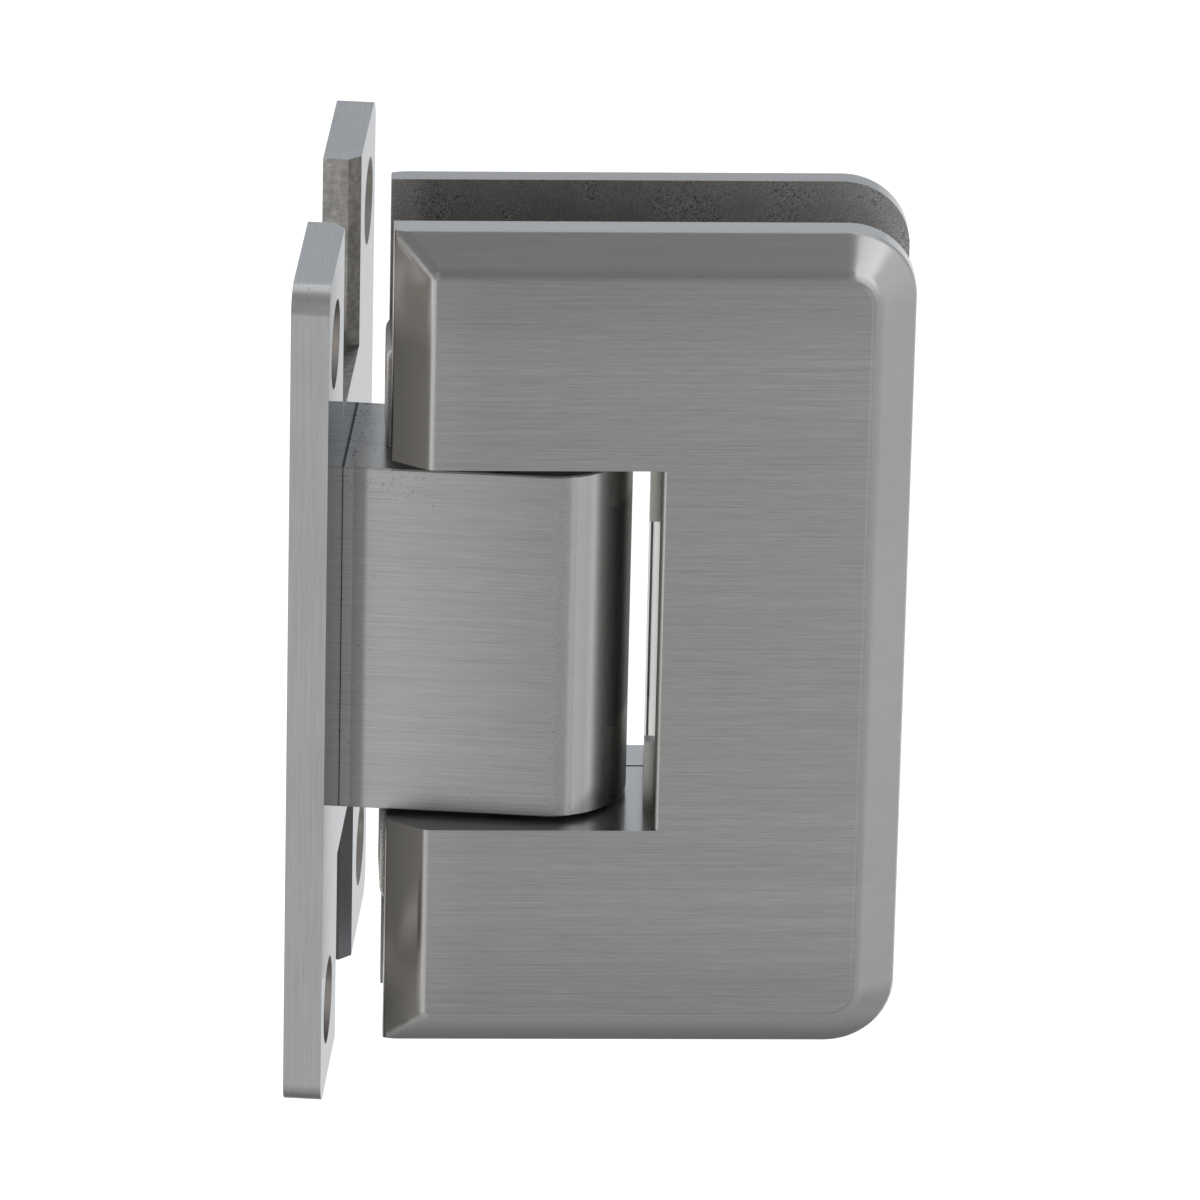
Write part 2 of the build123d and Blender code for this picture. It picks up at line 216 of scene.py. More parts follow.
finish, tree, shader, point, normal = new_finish(
    "plate_steel", 1.0, Anisotropic=0.8, Specular_Tint=(0.57, 0.58, 0.6, 1)
)
x, y, z = axes(tree, point)
normal_x, normal_y, normal_z = (sums(tree, "ABSOLUTE", part) for part in axes(tree, normal))
from_middle = sums(tree, "ABSOLUTE", y)
flat_face = ramp(tree, normal_x, 0.85, 0.95)
faces_up = ramp(tree, normal_z, 0.8, 0.9)
on_chamfer = ramp(tree, product(tree, normal_x, normal_y), 0.35, 0.45)
in_notch = product(
    tree,
    ramp(tree, from_middle, PLATE_NOTCH_HALF + 0.3 * MILLIMETRE, PLATE_NOTCH_HALF + 0.1 * MILLIMETRE),
    ramp(tree, normal_x, 0.9, 0.8),
)
hole_y = sums(tree, "SUBTRACT", from_middle, WALL_HOLE_Y)
hole_z = sums(tree, "SUBTRACT", sums(tree, "ABSOLUTE", z), WALL_HOLE_Z)
from_hole = sums(
    tree, "SQRT", sums(tree, "ADD", product(tree, hole_y, hole_y), product(tree, hole_z, hole_z))
)
in_hole = product(
    tree,
    ramp(tree, from_hole, WALL_HOLE_MOUTH + 0.05 * MILLIMETRE, WALL_HOLE_MOUTH - 0.05 * MILLIMETRE),
    ramp(tree, normal_x, 0.9, 0.8),
)
long_marks = streaks(tree, point, "Z", 8 * MILLIMETRE, 0.1 * MILLIMETRE)
short_marks = streaks(tree, point, "Y", 5 * MILLIMETRE, 0.12 * MILLIMETRE)
marks = blend(tree, faces_up, long_marks, short_marks)
patches = speckle(tree, point, 6 * MILLIMETRE)
bright = scaled(tree, marks, 0.6, 0.7)
bright = product(tree, bright, scaled(tree, patches, 0.12, 0.9))
bright = product(tree, bright, blend(tree, faces_up, 0.95, 1.05))
# Painted highlight: the rounded corners are lightened in a band.
corner_painted_highlight = band(tree, normal_z, 0.75, 0.9, 0.96, 0.99)
bright = lit(tree, bright, corner_painted_highlight, 0.35)
specks = ramp(tree, speckle(tree, point, 0.5 * MILLIMETRE, 1.0), 0.74, 0.78)
specks = product(tree, specks, sums(tree, "MAXIMUM", flat_face, faces_up))
bright = lit(tree, bright, specks, -0.6)
ground = shaded(tree, STEEL, bright)
scuffs = speckle(tree, point, 0.7 * MILLIMETRE, 5.0)
stains = speckle(tree, point, 3 * MILLIMETRE, 3.0)
rough_tone = product(tree, scaled(tree, scuffs, 1.4, 0.34), scaled(tree, stains, 0.5, 0.75))
rough_tone = product(tree, rough_tone, blend(tree, on_chamfer, 1.08, 0.7))
# Painted shade: the lower notch is coloured dark and bluish.
in_shaded_lower_notch = ramp(tree, z, MILLIMETRE, -MILLIMETRE)
milled = tint(
    tree,
    in_shaded_lower_notch,
    shaded(tree, DULL_STEEL, rough_tone),
    shaded(tree, LOWER_NOTCH_PAINTED_SHADE, blend(tree, on_chamfer, 0.8, 1.3)),
)
rings = turning_marks(tree, x, 0.12 * MILLIMETRE)
turned = shaded(tree, TURNED_STEEL, scaled(tree, rings, 0.7, 0.65))
left_milled = sums(tree, "MAXIMUM", in_notch, on_chamfer)
colour = tint(tree, left_milled, ground, milled)
colour = tint(tree, in_hole, colour, turned)
tree.links.new(colour, shader.inputs["Base Color"])
rough = blend(tree, flat_face, scaled(tree, marks, 0.12, 0.27), FACE_ROUGHNESS)
on_corner = band(tree, normal_z, 0.04, 0.2, 0.9, 0.99)
rough = blend(tree, on_corner, rough, CORNER_ROUGHNESS)
rough = blend(tree, left_milled, rough, MILLED_ROUGHNESS)
rough = blend(tree, in_hole, rough, HOLE_ROUGHNESS)
tree.links.new(rough, shader.inputs["Roughness"])
height = blend(tree, left_milled, marks, scuffs)
relief = put(tree, "ShaderNodeBump", {"Strength": 0.1, "Distance": RELIEF_DEPTH, "Height": height})
tree.links.new(relief.outputs[0], shader.inputs["Normal"])
face_normal = put(tree, "ShaderNodeNewGeometry").outputs["Normal"]
across = vectors(tree, "CROSS_PRODUCT", face_normal, (0, 0, 1))
tree.links.new(vectors(tree, "ADD", across, (0.1, 0, 0)), shader.inputs["Tangent"])
dress(finish, "wall_plate")


# Knuckle
# A solid block that two screws pull against the plate from behind, with a half-round end about the
# pivot. Its flats are brushed along their length, and the round end and the strip by the plate are not.
PIVOT_X = 24.4 * MILLIMETRE
KNUCKLE_SEAM = 3.8 * MILLIMETRE
UNBRUSHED_FROM = 27.3 * MILLIMETRE
UNBRUSHED_UP_TO = 6.17 * MILLIMETRE
RESIDUE_AND_SHADE_FROM = 4.85 * MILLIMETRE
BY_SEAM = 4 * MILLIMETRE
SEAM_DIRT_UP_TO = 7 * MILLIMETRE
SPECKS_UP_TO = 12 * MILLIMETRE
SCUFFED_X = (16 * MILLIMETRE, 9 * MILLIMETRE)
SCUFFED_Z = (13 * MILLIMETRE, 17 * MILLIMETRE)
# Where a band of painted shade or painted highlight starts, is full, starts to fade and ends, from the wall
PAINTED_SHADE_BAND = (25.2 * MILLIMETRE, 26.2 * MILLIMETRE, 26.5 * MILLIMETRE, 27 * MILLIMETRE)
PAINTED_HIGHLIGHT_BAND = (28.4 * MILLIMETRE, 29.2 * MILLIMETRE, 29.9 * MILLIMETRE, 30.8 * MILLIMETRE)
# Painted light and shade along the flats: its share at the wall and its change over a metre
FLAT_PAINTED_LIGHT_AT_WALL = 1.376
FLAT_PAINTED_LIGHT_A_METRE = -19.4


def steer(tree, factor, first, second):
    """Goes from the first vector to the second as the factor goes from 0 to 1."""
    step = put(tree, "ShaderNodeMix", {0: factor, 4: first, 5: second}, data_type="VECTOR")
    return step.outputs[1]


finish, tree, shader, point, normal = new_finish("knuckle_steel", 1.0, Anisotropic=0.95)
x, _, z = axes(tree, point)
normal_z = sums(tree, "ABSOLUTE", axes(tree, normal)[2])
faces_up = ramp(tree, normal_z, 0.8, 0.9)
fine_marks = streaks(tree, point, "X", 4 * MILLIMETRE, 0.055 * MILLIMETRE)
long_marks = streaks(tree, point, "X", 14 * MILLIMETRE, 0.11 * MILLIMETRE)
marks = blend(tree, 0.45, fine_marks, long_marks)
bands = streaks(tree, point, "X", 60 * MILLIMETRE, 1.6 * MILLIMETRE)
round_end = ramp(tree, x, UNBRUSHED_FROM - 0.1 * MILLIMETRE, UNBRUSHED_FROM + 0.1 * MILLIMETRE)
upright = rest(tree, faces_up)
dull_strip = ramp(tree, x, UNBRUSHED_UP_TO + 0.35 * MILLIMETRE, UNBRUSHED_UP_TO - 0.35 * MILLIMETRE)
past_seam = ramp(tree, x, RESIDUE_AND_SHADE_FROM - 0.1 * MILLIMETRE, RESIDUE_AND_SHADE_FROM + 0.1 * MILLIMETRE)
# The strip by the plate is darkened, partly as residue and partly as painted shade from the plate beside it.
by_plate = product(tree, blend(tree, past_seam, 0.1, 0.68), dull_strip, upright)
seam_width = blend(tree, faces_up, 0.06 * MILLIMETRE, 0.15 * MILLIMETRE)
from_seam = sums(tree, "DIVIDE", sums(tree, "SUBTRACT", x, KNUCKLE_SEAM), seam_width)
seam = ramp(tree, from_seam, 1.1, 0.8)
brushed = product(tree, rest(tree, round_end), rest(tree, by_plate))
grain = blend(tree, brushed, 0.15, 1.3)
bright = scaled(tree, sums(tree, "SUBTRACT", marks, 0.5), grain, 0.95)
bright = scaled(tree, sums(tree, "SUBTRACT", bands, 0.5), 0.12, bright)
grit = speckle(tree, point, 0.3 * MILLIMETRE, 4.0)
residue_and_painted_shade = product(tree, by_plate, scaled(tree, grit, -0.3, 0.55))
bright = product(tree, bright, rest(tree, residue_and_painted_shade))
# Painted shade: the top and bottom faces are darkened.
bright = product(tree, bright, blend(tree, faces_up, 1.0, 0.9))
near_seam = ramp(tree, x, SPECKS_UP_TO, BY_SEAM)
specks = ramp(tree, speckle(tree, point, 0.45 * MILLIMETRE, 1.5), blend(tree, near_seam, 0.77, 0.69), 0.8)
bright = lit(tree, bright, specks, -0.6)
scuffed = product(tree, ramp(tree, x, *SCUFFED_X), ramp(tree, z, *SCUFFED_Z))
scuffs = ramp(tree, speckle(tree, point, 0.3 * MILLIMETRE, 4.0), 0.55, 0.68)
bright = lit(tree, bright, product(tree, scuffed, scuffs), -0.3)
on_flat = product(tree, upright, rest(tree, round_end), rest(tree, dull_strip))
# Painted light and shade: the flats fade from lighter by the wall to darker towards the round end.
painted_light_along_flat = scaled(tree, x, FLAT_PAINTED_LIGHT_A_METRE, FLAT_PAINTED_LIGHT_AT_WALL)
bright = product(tree, bright, blend(tree, on_flat, 1.0, painted_light_along_flat))
# Painted light on the round end, a band of painted shade on the flat just before it, and a band of painted
# highlight on it.
bright = product(tree, bright, blend(tree, round_end, 1.0, 1.05))
bright = lit(tree, bright, band(tree, x, *PAINTED_SHADE_BAND), -0.26)
bright = lit(tree, bright, band(tree, x, *PAINTED_HIGHLIGHT_BAND), 0.4)
seam_dirt = product(tree, faces_up, ramp(tree, x, SEAM_DIRT_UP_TO, BY_SEAM))
dirt = ramp(tree, speckle(tree, point, 0.35 * MILLIMETRE, 3.0), 0.58, 0.66)
bright = lit(tree, bright, product(tree, seam_dirt, dirt), -0.7)
bright = product(tree, bright, blend(tree, seam, 1.0, 0.12))
tree.links.new(shaded(tree, STEEL, bright), shader.inputs["Base Color"])
rough = blend(tree, round_end, scaled(tree, marks, 0.12, 0.24), 0.21)
rough = blend(tree, faces_up, rough, 0.3)
tree.links.new(rough, shader.inputs["Roughness"])
relief = put(tree, "ShaderNodeBump", {"Strength": 0.12, "Distance": RELIEF_DEPTH, "Height": marks})
tree.links.new(relief.outputs[0], shader.inputs["Normal"])
face_normal = put(tree, "ShaderNodeNewGeometry").outputs["Normal"]
round_about = vectors(tree, "CROSS_PRODUCT", face_normal, (0, 0, 1))
tangent = steer(tree, round_end, (0, 0, 1), round_about)
tree.links.new(steer(tree, faces_up, tangent, (0, 1, 0)), shader.inputs["Tangent"])
dress(finish, "knuckle")


# Knuckle screws
# Two countersunk M5 socket screws of plain steel, turned and thread-rolled. They pass through the plate
# from the wall side into the knuckle, with their heads sunk below the plate's face.
M5_SHANK = 2.5 * MILLIMETRE
M5_HEAD = 4.8 * MILLIMETRE
M5_PITCH = 0.8 * MILLIMETRE
M5_SOCKET = 3 * MILLIMETRE
M5_SOCKET_DEPTH = 2 * MILLIMETRE
KNUCKLE_SCREW_LENGTH = 12 * MILLIMETRE
SCREW_SIDES = 48
RINGS_A_TURN = 6
SHARP_FROM = math.radians(35)
SCREW_STEEL = (0.5, 0.49, 0.47)

screw_steel, tree, shader, point, _ = new_finish("screw_steel", 1.0)
wear = speckle(tree, point, 0.8 * MILLIMETRE, 4.0)
tone = scaled(tree, wear, 0.5, 0.7)
tree.links.new(shaded(tree, SCREW_STEEL, tone), shader.inputs["Base Color"])
tree.links.new(scaled(tree, wear, 0.3, 0.2), shader.inputs["Roughness"])


def screw_mesh(name, head, shank, pitch, length, socket, socket_depth, place):
    """A threaded socket screw: before it is placed its head's face is at z = 0 and it points down."""
    turn = 2 * math.pi / SCREW_SIDES
    angles = [turn * side for side in range(SCREW_SIDES)]
    hexagon = [socket / 2 / math.cos((a + math.pi / 6) % (math.pi / 3) - math.pi / 6) for a in angles]
    tip = shank / 5
    rings = [(-socket_depth, hexagon), (0.0, hexagon), (0.0, [head] * SCREW_SIDES)]
    z = shank - head
    rings.append((z, [shank] * SCREW_SIDES))
    while z > tip - length:
        shares = [(z / pitch - a / (2 * math.pi)) % 1.0 for a in angles]
        depth = pitch / 2 * min(1.0, (shank - head - z) / pitch)
        rings.append((z, [shank - depth * (1 - abs(2 * share - 1)) for share in shares]))
        z -= pitch / RINGS_A_TURN
    rings.append((-length, [shank - tip - pitch / 2] * SCREW_SIDES))
    corners = [Vector((0, 0, -socket_depth))]
    for z, radii in rings:
        corners += [Vector((r * math.cos(a), r * math.sin(a), z)) for a, r in zip(angles, radii)]
    corners.append(Vector((0, 0, -length)))
    faces = []
    for side in range(SCREW_SIDES):
        following = (side + 1) % SCREW_SIDES
        faces.append((0, 1 + side, 1 + following))
        for ring in range(len(rings) - 1):
            low = 1 + ring * SCREW_SIDES
            high = low + SCREW_SIDES
            faces.append((low + side, high + side, high + following, low + following))
        last = 1 + (len(rings) - 1) * SCREW_SIDES
        faces.append((last + side, len(corners) - 1, last + following))
    mesh = bpy.data.meshes.new(name)
    mesh.from_pydata([place @ corner for corner in corners], [], faces)
    mesh.shade_smooth()
    mesh.set_sharp_from_angle(angle=SHARP_FROM)
    return mesh


def row_of_screws():
    """A node tree that repeats a mesh along a line, with inputs for how many, how far apart and of what."""
    group = bpy.data.node_groups.new("row_of_screws", "GeometryNodeTree")
    face = group.interface
    face.new_socket("Screw", in_out="INPUT", socket_type="NodeSocketGeometry")
    face.new_socket("Count", in_out="INPUT", socket_type="NodeSocketInt")
    face.new_socket("Spacing", in_out="INPUT", socket_type="NodeSocketVector")
    face.new_socket("Finish", in_out="INPUT", socket_type="NodeSocketMaterial")
    face.new_socket("Row", in_out="OUTPUT", socket_type="NodeSocketGeometry")
    given = put(group, "NodeGroupInput").outputs
    line = put(group, "GeometryNodeMeshLine", {"Count": given["Count"], "Offset": given["Spacing"]})
    row = put(group, "GeometryNodeInstanceOnPoints", {"Points": line.outputs[0], "Instance": given["Screw"]})
    real = put(group, "GeometryNodeRealizeInstances", {"Geometry": row.outputs[0]})
    dressed = put(
        group, "GeometryNodeSetMaterial", {"Geometry": real.outputs[0], "Material": given["Finish"]}
    )
    put(group, "NodeGroupOutput", {"Row": dressed.outputs[0]})
    return group


screw_row = row_of_screws()


def screw_pair(node, body, first_screw, spacing):
    """Stands two screws in the place of a CAD node: the first as given, the other that far above it."""
    source = bpy.data.objects.new(node + "_source", first_screw)
    scene.collection.objects.link(source)
    modifier = source.modifiers.new("row", "NODES")
    modifier.node_group = screw_row
    values = {"Count": 2, "Spacing": (0, 0, spacing), "Finish": screw_steel}
    for item in screw_row.interface.items_tree:
        if item.in_out == "INPUT" and item.name in values:
            modifier[item.identifier] = values[item.name]
    shown = source.evaluated_get(bpy.context.evaluated_depsgraph_get())
    mesh = bpy.data.meshes.new_from_object(shown)
    source.modifiers.remove(modifier)
    bpy.data.objects.remove(source)
    pair = bpy.data.objects.new(node + "_threaded", mesh)
    scene.collection.objects.link(pair)
    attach(pair, body)
    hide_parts(node)


low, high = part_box("knuckle_screws")
into_knuckle = Matrix.Translation((low.x, 0, low.z + M5_HEAD)) @ Matrix.Rotation(math.radians(-90), 4, "Y")
knuckle_screw = screw_mesh(
    "knuckle_screw",
    M5_HEAD,
    M5_SHANK,
    M5_PITCH,
    KNUCKLE_SCREW_LENGTH,
    M5_SOCKET,
    M5_SOCKET_DEPTH,
    into_knuckle,
)
screw_pair("knuckle_screws", "wall_bracket", knuckle_screw, high.z - low.z - 2 * M5_HEAD)


# Bushes
# Plain bearings moulded in black acetal, reamed to size and pressed into the two ends of the bore in
# the knuckle, where the pin turns in them.
ACETAL_BLACK = (0.06, 0.06, 0.065)

acetal, tree, shader, point, _ = new_finish("acetal", 0.0)
cloud = speckle(tree, point, 2 * MILLIMETRE, 3.0)
tone = scaled(tree, cloud, 0.4, 0.8)
tree.links.new(shaded(tree, ACETAL_BLACK, tone), shader.inputs["Base Color"])
tree.links.new(scaled(tree, cloud, 0.2, 0.35), shader.inputs["Roughness"])
dress(acetal, "upper_bush", "lower_bush")


# Thrust washers
# Rings of the same acetal that lie between the knuckle's ends and the lugs, the upper one thicker.
dress(acetal, "upper_thrust_washer", "lower_thrust_washer")


# Detent shoe
# A bar of hardened steel that slides in the knuckle's slot and drops on the pin's flats. Its face is
# ground, and grease darkens it.
SHOE_STEEL = (0.42, 0.41, 0.39)

finish, tree, shader, point, _ = new_finish("shoe_steel", 1.0)
grinding = streaks(tree, point, "Z", 4 * MILLIMETRE, 0.12 * MILLIMETRE)
grease = ramp(tree, speckle(tree, point, 2.5 * MILLIMETRE, 3.0), 0.45, 0.65)
tone = lit(tree, scaled(tree, grinding, 0.5, 0.75), grease, -0.45)
tree.links.new(shaded(tree, SHOE_STEEL, tone), shader.inputs["Base Color"])
tree.links.new(scaled(tree, grease, 0.2, 0.25), shader.inputs["Roughness"])
dress(finish, "detent_shoe")


# Springs
# Die springs of oil-tempered flat wire, coiled hot, that push the shoe against the pin.
SPRING_STEEL = (0.25, 0.22, 0.19)

finish, tree, shader, point, _ = new_finish("spring_steel", 1.0)
scale = speckle(tree, point, 0.5 * MILLIMETRE, 5.0)
tone = scaled(tree, scale, 0.9, 0.5)
tree.links.new(shaded(tree, SPRING_STEEL, tone), shader.inputs["Base Color"])
tree.links.new(scaled(tree, scale, 0.3, 0.25), shader.inputs["Roughness"])
dress(finish, "upper_spring", "lower_spring")


# Pivot pin
# A hardened round bar, centreless ground, with four milled flats, that grub screws lock in the lugs.
PIN_STEEL = (0.46, 0.455, 0.44)

finish, tree, shader, point, _ = new_finish("pin_steel", 1.0)
rings = turning_marks(tree, axes(tree, point)[2], 0.08 * MILLIMETRE)
wear = speckle(tree, point, 1.2 * MILLIMETRE, 3.0)
tone = scaled(tree, rings, 0.25, scaled(tree, wear, 0.3, 0.7))
tree.links.new(shaded(tree, PIN_STEEL, tone), shader.inputs["Base Color"])
tree.links.new(scaled(tree, wear, 0.2, 0.12), shader.inputs["Roughness"])
dress(finish, "pivot_pin")


# Front cover
# A casting that carries the pivot lugs, bevelled all round. Its face is brushed level, its bevels are
# polished, and its glass side, its lugs and the tabs beside the notch are left as they were cast.
DOOR_ANGLE = math.radians(6.2)
# A warm painted reflection in the colour of the left bevel
WARM_REFLECTION_STEEL = (0.435, 0.415, 0.395)
CAST_METAL = (0.3, 0.293, 0.285)
TAB_METAL = (0.38, 0.38, 0.343)
GLASS_GAP_HALF = 5.2 * MILLIMETRE
KNUCKLE_NOTCH_HALF = 20 * MILLIMETRE
COVER_TAIL = 16.6 * MILLIMETRE
TAB_FROM = 9.4 * MILLIMETRE
TAB_TO = 10.5 * MILLIMETRE
TAB_FOOT = 12.2 * MILLIMETRE
BEVEL_WIDTH = 3.9 * MILLIMETRE
BEVEL_TOP = 41 * MILLIMETRE
BEVEL_FOOT = 45.2 * MILLIMETRE
# Painted shade on the rounded right and foot edges of the face
RIGHT_EDGE_PAINTED_SHADE = 0.28
FOOT_EDGE_PAINTED_SHADE = 0.37
# Where a tone, most of them painted light or painted shade, starts to change, from the pivot, and where the
# change ends
FACE_FOOT_PAINTED_SHADE = (-27 * MILLIMETRE, -42 * MILLIMETRE)
FACE_HEAD_PAINTED_SHADE = (31 * MILLIMETRE, 39 * MILLIMETRE)
FACE_END_PAINTED_LIGHT = (-7 * MILLIMETRE, -12.5 * MILLIMETRE)
LEFT_HIGHLIGHT_FADE = (10 * MILLIMETRE, -10 * MILLIMETRE)
LOWER_RIGHT_PAINTED_LIGHT = (25 * MILLIMETRE, -5 * MILLIMETRE)
PAST_NOTCH = (15 * MILLIMETRE, 16 * MILLIMETRE)
UPPER_GLOW = (32 * MILLIMETRE, 39.5 * MILLIMETRE)
UPPER_SHADE = (39.5 * MILLIMETRE, 44.5 * MILLIMETRE)
LOWER_GLOW = (-31 * MILLIMETRE, -35 * MILLIMETRE)
LOWER_SHADE = (-35 * MILLIMETRE, -43.5 * MILLIMETRE)
PALER_CAST = (0, 35 * MILLIMETRE)
CAST_TAIL_PAINTED_LIGHT = (-12.5 * MILLIMETRE, -14.5 * MILLIMETRE)


def cover_finish(name, outward, rim_painted_shade):
    """The finish of a cover whose face looks along outward, with its top and bottom edge darkened by a
    painted shade of the given tone.
    """
    finish, tree, shader, point, normal = new_finish(name, 1.0, Anisotropic=0.9)
    on_door = put(
        tree,
        "ShaderNodeMapping",
        {"Vector": point, "Location": (PIVOT_X, 0, 0), "Rotation": (0, 0, DOOR_ANGLE)},
        vector_type="TEXTURE",
    )
    door_point = on_door.outputs[0]
    turned = put(
        tree, "ShaderNodeMapping", {"Vector": normal, "Rotation": (0, 0, -DOOR_ANGLE)}, vector_type="NORMAL"
    )
    normal_x, normal_y, normal_z = axes(tree, turned.outputs[0])
    x, y, z = axes(tree, door_point)
    height = sums(tree, "ABSOLUTE", z)
    facing = product(tree, normal_y, float(outward))
    on_face = ramp(tree, facing, 0.97, 0.995)
    # Painted shade that darkens the reflection on the rounded right and foot edges of the face.
    right_edge_painted_shade = product(tree, ramp(tree, normal_x, 0.0, 0.05), RIGHT_EDGE_PAINTED_SHADE)
    foot_edge_painted_shade = product(tree, ramp(tree, normal_z, 0.0, -0.34), FOOT_EDGE_PAINTED_SHADE)
    rounding = band(tree, facing, 0.85, 0.975, 0.9897, 1.0023)
    painted_edge_shade = product(tree, sums(tree, "MAXIMUM", right_edge_painted_shade, foot_edge_painted_shade), rounding)
    # Painted highlight along the rounded left edge of the face, fading with height.
    left_rounding = band(tree, facing, 0.88, 0.94, 0.975, 1.001)
    left_painted_highlight = product(tree, ramp(tree, normal_x, -0.02, -0.1), left_rounding)
    inside = ramp(tree, facing, -0.8, -0.9)
    level_edge = ramp(tree, sums(tree, "ABSOLUTE", normal_z), 0.8, 0.9)
    from_glass = sums(tree, "ABSOLUTE", y)
    between_covers = ramp(
        tree, from_glass, GLASS_GAP_HALF + 0.1 * MILLIMETRE, GLASS_GAP_HALF + 0.05 * MILLIMETRE
    )
    in_notch_height = ramp(
        tree, height, KNUCKLE_NOTCH_HALF + 0.2 * MILLIMETRE, KNUCKLE_NOTCH_HALF + 0.1 * MILLIMETRE
    )
    past_pivot = ramp(tree, x, 0.0, MILLIMETRE)
    notch_wall_painted_shade = product(tree, ramp(tree, normal_x, -0.7, -0.8), in_notch_height, past_pivot)
    notch_floor_painted_light = product(tree, level_edge, in_notch_height)
    off_notch = sums(tree, "MAXIMUM", rest(tree, in_notch_height), ramp(tree, normal_x, 0.5, 0.7))
    cast = sums(tree, "MAXIMUM", inside, product(tree, between_covers, off_notch))
    on_tab = product(
        tree,
        between_covers,
        in_notch_height,
        band(tree, x, TAB_FROM - 0.1 * MILLIMETRE, TAB_FROM, TAB_TO - 0.1 * MILLIMETRE, TAB_TO),
        ramp(tree, height, TAB_FOOT - 0.1 * MILLIMETRE, TAB_FOOT),
        ramp(tree, level_edge, 0.6, 0.4),
    )
    fine_marks = streaks(tree, door_point, "X", 4 * MILLIMETRE, 0.055 * MILLIMETRE)
    long_marks = streaks(tree, door_point, "X", 14 * MILLIMETRE, 0.11 * MILLIMETRE)
    marks = blend(tree, 0.45, fine_marks, long_marks)
    bands = streaks(tree, door_point, "X", 70 * MILLIMETRE, 1.8 * MILLIMETRE)
    grain = blend(tree, on_face, 0.25, 1.3)
    bright = scaled(tree, sums(tree, "SUBTRACT", marks, 0.5), grain, 0.95)
    bright = scaled(tree, sums(tree, "SUBTRACT", bands, 0.5), 0.12, bright)
    bright = product(tree, bright, blend(tree, on_face, 1.0, 0.86))
    bright = product(tree, bright, rest(tree, painted_edge_shade))
    left_highlight_gain = blend(tree, ramp(tree, z, *LEFT_HIGHLIGHT_FADE), 0.42, 0.22)
    bright = lit(tree, bright, left_painted_highlight, left_highlight_gain)
    # Painted shade towards the face's foot and head, and painted light towards its wall end.
    face_painted_light_and_shade = scaled(tree, ramp(tree, z, *FACE_FOOT_PAINTED_SHADE), -0.15, 1.0)
    face_painted_light_and_shade = lit(tree, face_painted_light_and_shade, ramp(tree, z, *FACE_HEAD_PAINTED_SHADE), -0.11)
    face_painted_light_and_shade = lit(tree, face_painted_light_and_shade, ramp(tree, x, *FACE_END_PAINTED_LIGHT), 0.08)
    bright = product(tree, bright, blend(tree, on_face, 1.0, face_painted_light_and_shade))
    # Painted light on the lower part of the right bevel.
    right_bevel = product(tree, ramp(tree, normal_x, 0.3, 0.45), ramp(tree, facing, 0.3, 0.5))
    lower_right_painted_light = product(tree, right_bevel, ramp(tree, z, *LOWER_RIGHT_PAINTED_LIGHT))
    bright = lit(tree, bright, lower_right_painted_light, 0.08)
    # Painted shade on the rim, as dark as the given tone.
    outside_notch = sums(tree, "MAXIMUM", rest(tree, in_notch_height), ramp(tree, x, *PAST_NOTCH))
    on_rim = product(tree, ramp(tree, sums(tree, "ABSOLUTE", facing), 0.3, 0.2), outside_notch)
    bright = product(tree, bright, blend(tree, on_rim, 1.0, rim_painted_shade))
    # Painted light and shade on the bevel below the face: lighter by the face, darker towards the bottom
    # rim.
    under_bevel = product(tree, ramp(tree, normal_z, -0.1, -0.4), ramp(tree, facing, 0.3, 0.5))
    foot_bevel_painted_light_and_shade = scaled(tree, ramp(tree, height, BEVEL_TOP, BEVEL_FOOT), -0.52, 1.18)
    bright = product(tree, bright, blend(tree, under_bevel, 1.0, foot_bevel_painted_light_and_shade))
    # Painted shade on the notch wall and a little painted light on the notch floor.
    bright = product(tree, bright, blend(tree, notch_wall_painted_shade, 1.0, 0.55))
    bright = product(tree, bright, blend(tree, notch_floor_painted_light, 1.0, 1.02))
    # Painted light and shade on the left bevel, darker towards its outer edge, with a warm painted
    # reflection in its colour.
    left_bevel = ramp(tree, normal_x, -0.25, -0.45)
    left_bevel_painted_light_and_shade = blend(tree, ramp(tree, x, -COVER_TAIL, BEVEL_WIDTH - COVER_TAIL), 0.72, 0.94)
    for place, gain in ((UPPER_GLOW, 2.15), (UPPER_SHADE, 0.65), (LOWER_GLOW, 1.35), (LOWER_SHADE, 0.3)):
        left_bevel_painted_light_and_shade = product(tree, left_bevel_painted_light_and_shade, blend(tree, ramp(tree, z, *place), 1.0, gain))
    bright = product(tree, bright, blend(tree, left_bevel, 1.0, left_bevel_painted_light_and_shade))
    brushed = shaded(tree, tint(tree, left_bevel, (*STEEL, 1), (*WARM_REFLECTION_STEEL, 1)), bright)
    grit = speckle(tree, door_point, 0.14 * MILLIMETRE, 5.0)
    clouds = speckle(tree, door_point, 5 * MILLIMETRE, 3.0)
    pale_grit = ramp(tree, sums(tree, "ADD", grit, product(tree, clouds, 0.35)), 0.74, 0.86)
    cast_tone = scaled(tree, clouds, 0.7, 0.75)
    cast_tone = product(tree, cast_tone, scaled(tree, ramp(tree, grit, 0.35, 0.68), 0.6, 0.7))
    # Paler past the pivot, and painted light towards the tail.
    cast_tone = product(tree, cast_tone, blend(tree, ramp(tree, x, *PALER_CAST), 1.0, 1.5))
    cast_tone = product(tree, cast_tone, blend(tree, ramp(tree, x, *CAST_TAIL_PAINTED_LIGHT), 1.0, 1.3))
    clumps = ramp(tree, speckle(tree, door_point, 0.22 * MILLIMETRE, 4.0), 0.5, 0.62)
    clumps = product(tree, clumps, ramp(tree, clouds, 0.5, 0.6))
    cast_tone = lit(tree, cast_tone, clumps, -0.5)
